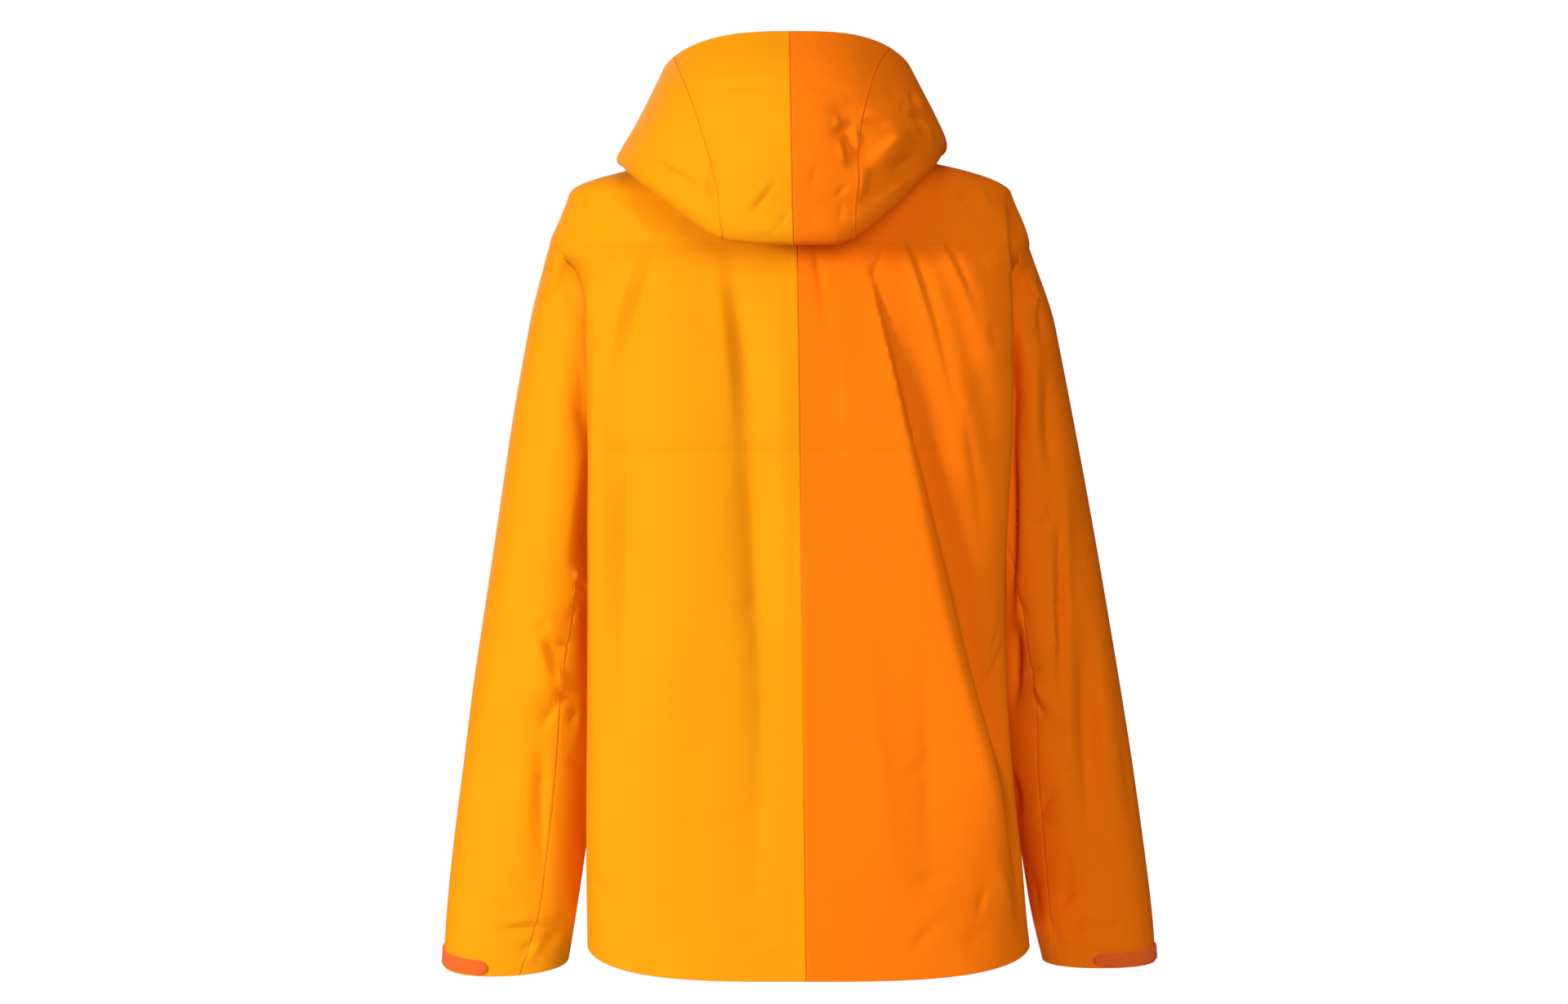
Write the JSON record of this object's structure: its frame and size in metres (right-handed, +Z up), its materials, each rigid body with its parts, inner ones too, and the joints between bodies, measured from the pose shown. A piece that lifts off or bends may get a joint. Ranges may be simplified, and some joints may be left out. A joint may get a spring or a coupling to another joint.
{
  "type": "hooded shell jacket",
  "caption": "Hooded waterproof shell jacket with a front zip, filled out as if worn, split in two colours down the middle.",
  "frame": {"origin": "middle of the neck opening, at the height of the shoulder points, where a wearer's neck and shoulders hold the jacket", "axes": "+Z up, from hem to hood; -Y forward, out of the zipped front; +X to the wearer's left"},
  "size_m": [0.6837, 0.3499, 0.8858],
  "materials": {
    "amber_cloth": "matt three-layer woven shell cloth, amber",
    "orange_cloth": "matt three-layer woven shell cloth, orange",
    "amber_zip_tape": "coated zip tape, amber",
    "orange_zip_tape": "coated zip tape, orange",
    "hook_and_loop": "napped loop tape, red-orange",
    "zip_metal": "dark lacquered zinc"
  },
  "bodies": {
    "jacket": {"back_left": "amber_cloth", "back_right": "orange_cloth", "front_left": "amber_cloth", "front_right": "orange_cloth", "sleeve_left": "amber_cloth", "sleeve_right": "orange_cloth", "hood_crown_left": "amber_cloth", "hood_crown_right": "orange_cloth", "hood_side_left": "amber_cloth", "hood_side_right": "orange_cloth", "zip_tape_left": "amber_zip_tape", "zip_tape_right": "orange_zip_tape", "cuff_strap_left": "hook_and_loop", "cuff_strap_right": "hook_and_loop", "zip_slider": "zip_metal"},
    "pull": {"zip_pull": "zip_metal"}
  },
  "joints": [
    {"name": "pull_swing", "type": "hinge", "parent": "jacket", "child": "pull", "pos_m": [0, -0.1017, 0.034], "axis": [-1, 0, 0], "range_deg": [-3, 150]}
  ]
}
